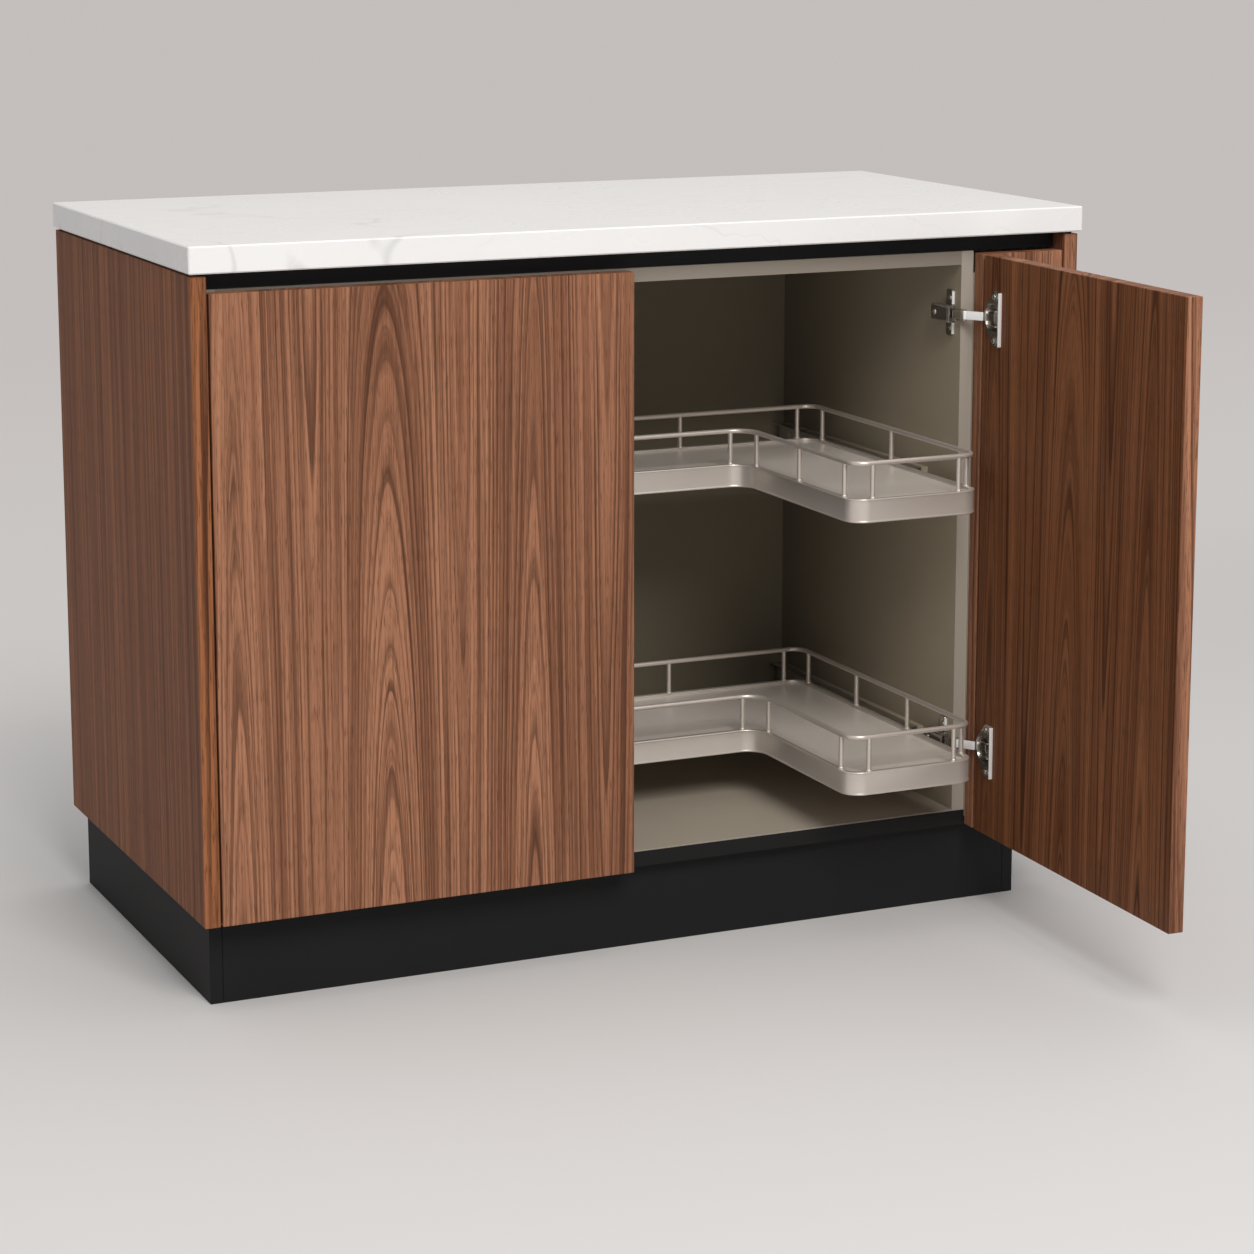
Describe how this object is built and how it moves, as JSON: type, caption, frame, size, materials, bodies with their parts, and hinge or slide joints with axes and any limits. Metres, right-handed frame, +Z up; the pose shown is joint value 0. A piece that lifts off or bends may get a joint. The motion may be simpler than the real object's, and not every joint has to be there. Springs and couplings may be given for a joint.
{
  "type": "blind corner base cabinet",
  "caption": "Blind corner base cabinet in walnut veneer with a hinged door on concealed hinges, L-shaped railed pull-out trays, a pale stone worktop, a dark grip channel and a recessed plinth.",
  "frame": {"origin": "middle of the footprint of the whole part as stored, on the floor", "axes": "+X runs right along the front, the front faces -Y, +Z is up"},
  "size_m": [1.106, 1.002, 0.853],
  "materials": {
    "quartz": "polished quartz with faint grey veins",
    "walnut": "satin lacquered walnut veneer, grain upright",
    "carcass_board": "warm grey melamine",
    "rail_finish": "champagne grey laminate",
    "black_board": "matt black laminate",
    "raw_board": "raw softwood",
    "black_metal": "matt black anodised",
    "black_plastic": "matt",
    "tray_metal": "satin champagne nickel",
    "nickel": "polished nickel",
    "zinc": "bright zinc plated",
    "runner_steel": "zinc plated",
    "beech": "plain beech"
  },
  "bodies": {
    "cabinet": {"worktop": "quartz", "end_panel_left": "walnut", "end_panel_right": "walnut", "fixed_front_panel": "walnut", "filler_panel": "walnut", "carcass_side_left": "carcass_board", "carcass_side_right": "carcass_board", "carcass_bottom": "carcass_board", "back_panel": "carcass_board", "rear_top_rail": "carcass_board", "blind_stile": "carcass_board", "filler_cleats": "carcass_board", "bay_boards": "carcass_board", "front_packers": "carcass_board", "runner_standoffs": "carcass_board", "front_top_rail": "rail_finish", "plinth_front": "black_board", "plinth_rear": "black_board", "plinth_left": "black_board", "plinth_right": "black_board", "plinth_bearers": "raw_board", "plinth_corner_blocks": "raw_board", "grip_channel": "black_metal", "bottom_edge_strip": "black_plastic", "worktop_spacers": "black_plastic", "tray_guide": "tray_metal", "hinge_plate_upper": "nickel", "hinge_plate_lower": "nickel", "hinge_arm_upper": "nickel", "hinge_arm_lower": "nickel", "hinge_pins": "nickel", "hinge_wall_screws": "zinc", "runner_screws": "zinc", "channel_screws": "zinc", "front_fixing_screws": "zinc", "end_panel_screws": "zinc", "carcass_screws": "zinc", "plinth_screws": "zinc", "panel_brackets": "zinc", "runner_fixed_upper": "runner_steel", "runner_fixed_lower": "runner_steel", "carcass_dowels": "beech"},
    "door": {"door_panel": "walnut", "hinge_cup_upper": "nickel", "hinge_cup_lower": "nickel", "hinge_cup_screws": "zinc"},
    "link_upper": {"hinge_link_upper": "nickel"},
    "link_lower": {"hinge_link_lower": "nickel"},
    "tray_upper": {"tray_fascia_upper": "tray_metal", "tray_deck_upper": "tray_metal", "tray_gallery_upper": "tray_metal", "tray_posts_upper": "tray_metal", "runner_moving_upper": "runner_steel"},
    "tray_lower": {"tray_fascia_lower": "tray_metal", "tray_deck_lower": "tray_metal", "tray_gallery_lower": "tray_metal", "tray_posts_lower": "tray_metal", "runner_moving_lower": "runner_steel"},
    "cages_upper": {"ball_cages_upper": "runner_steel"},
    "cages_lower": {"ball_cages_lower": "runner_steel"}
  },
  "joints": [
    {"name": "door_hinge", "type": "hinge", "parent": "cabinet", "child": "door", "pos_m": [0.431, -0.04101, 0.45], "axis": [0, 0, 1], "range_deg": [-88, 7]},
    {"name": "link_pivot_upper", "type": "hinge", "parent": "cabinet", "child": "link_upper", "pos_m": [0.404, -0.03641, 0.728], "axis": [0, 0, 1], "range_deg": [-123.1, 9.9]},
    {"name": "link_pivot_lower", "type": "hinge", "parent": "cabinet", "child": "link_lower", "pos_m": [0.404, -0.03641, 0.205], "axis": [0, 0, 1], "range_deg": [-123.1, 9.9]},
    {"name": "tray_slide_upper", "type": "slide", "parent": "cabinet", "child": "tray_upper", "axis": [0, -1, 0], "range_m": [-0.0961, 0.0077]},
    {"name": "cage_slide_upper", "type": "slide", "parent": "cabinet", "child": "cages_upper", "axis": [0, -1, 0], "range_m": [-0.04805, 0.00385]},
    {"name": "tray_slide_lower", "type": "slide", "parent": "cabinet", "child": "tray_lower", "axis": [0, -1, 0], "range_m": [-0.0961, 0.0077]},
    {"name": "cage_slide_lower", "type": "slide", "parent": "cabinet", "child": "cages_lower", "axis": [0, -1, 0], "range_m": [-0.04805, 0.00385]}
  ],
  "couplings": [
    {"joint": "link_pivot_upper", "follows": "door_hinge", "ratio": 1.3977},
    {"joint": "link_pivot_lower", "follows": "door_hinge", "ratio": 1.3977},
    {"joint": "tray_slide_upper", "follows": "door_hinge", "m_per_rad": 0.062504},
    {"joint": "cage_slide_upper", "follows": "door_hinge", "m_per_rad": 0.031252},
    {"joint": "tray_slide_lower", "follows": "door_hinge", "m_per_rad": 0.062504},
    {"joint": "cage_slide_lower", "follows": "door_hinge", "m_per_rad": 0.031252}
  ]
}
